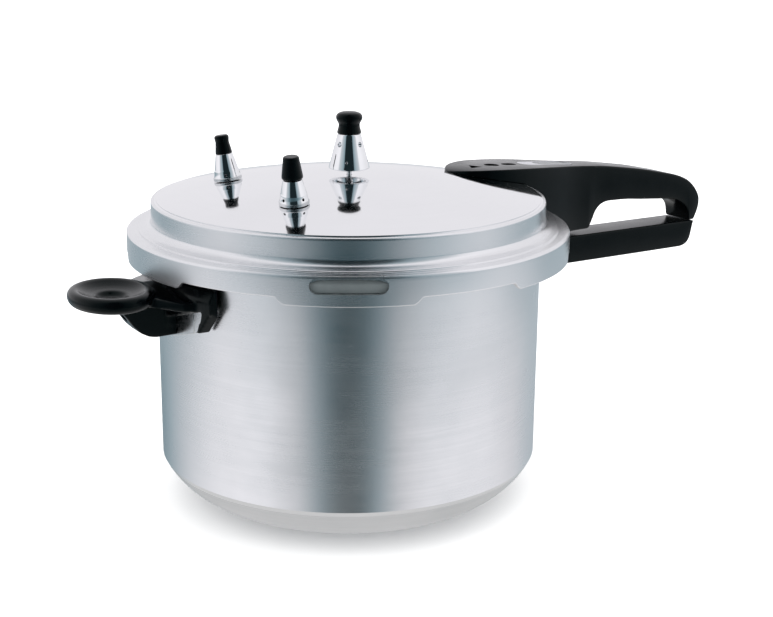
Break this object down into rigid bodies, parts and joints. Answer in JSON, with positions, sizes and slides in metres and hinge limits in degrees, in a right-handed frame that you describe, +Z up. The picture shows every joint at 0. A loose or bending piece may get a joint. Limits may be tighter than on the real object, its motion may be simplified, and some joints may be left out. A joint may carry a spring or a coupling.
{
  "type": "stovetop pressure cooker",
  "caption": "Stovetop pressure cooker: bayonet lid with a long handle and spring valves, a weighted regulator, and a deep pot with a straight lower grip and a dished helper handle.",
  "frame": {"origin": "centre of the pot's flat underside, where it stands on the hob", "axes": "+Z up along the pot's axis, +X along the long handle, helper handle towards -X"},
  "size_m": [0.4761, 0.28, 0.2463],
  "materials": {
    "pot_aluminium": "brushed satin",
    "lid_aluminium": "polished",
    "chrome": "mirror",
    "steel": "satin",
    "inlay": "satin",
    "bakelite": "glossy black",
    "silicone": "matt"
  },
  "bodies": {
    "pot": {"pot_body": "pot_aluminium", "helper_handle": "bakelite", "helper_handle_bracket": "steel", "helper_handle_screw": "steel", "helper_rivet_upper": "steel", "helper_rivet_lower": "steel", "lower_handle": "bakelite", "lower_handle_bracket": "steel", "lower_handle_screw": "steel", "lower_rivet_left": "steel", "lower_rivet_right": "steel"},
    "lid": {"lid_shell": "lid_aluminium", "sealing_gasket": "silicone", "upper_handle": "bakelite", "handle_inlay_plate": "inlay", "upper_handle_screw_rear": "steel", "upper_handle_screw_front": "steel", "vent_pipe": "steel", "rear_valve_body": "chrome", "rear_valve_nut": "steel", "rear_valve_spring": "steel", "front_valve_body": "chrome", "front_valve_nut": "steel", "front_valve_spring": "steel"},
    "regulator": {"regulator_weight": "chrome", "regulator_knob": "bakelite"},
    "rear_valve_plunger": {"rear_valve_stem": "steel", "rear_valve_cap": "bakelite"},
    "front_valve_plunger": {"front_valve_stem": "steel", "front_valve_cap": "bakelite"}
  },
  "joints": [
    {"name": "lid_turn", "type": "hinge", "parent": "pot", "child": "lid", "pos_m": [0, 0, 0.165], "axis": [0, 0, 1], "range_deg": [0, 30]},
    {"name": "regulator_lift", "type": "slide", "parent": "lid", "child": "regulator", "axis": [0, 0, 1], "range_m": [0, 0.03]},
    {"name": "rear_valve_lift", "type": "slide", "parent": "lid", "child": "rear_valve_plunger", "axis": [-0.1084, 0.0775, 0.9911], "range_m": [0, 0.003], "stiffness_N_per_m": 1500, "springref_m": -0.002, "deforming": ["rear_valve_spring"]},
    {"name": "front_valve_lift", "type": "slide", "parent": "lid", "child": "front_valve_plunger", "axis": [-0.1084, -0.0775, 0.9911], "range_m": [0, 0.003], "stiffness_N_per_m": 1500, "springref_m": -0.002, "deforming": ["front_valve_spring"]}
  ]
}
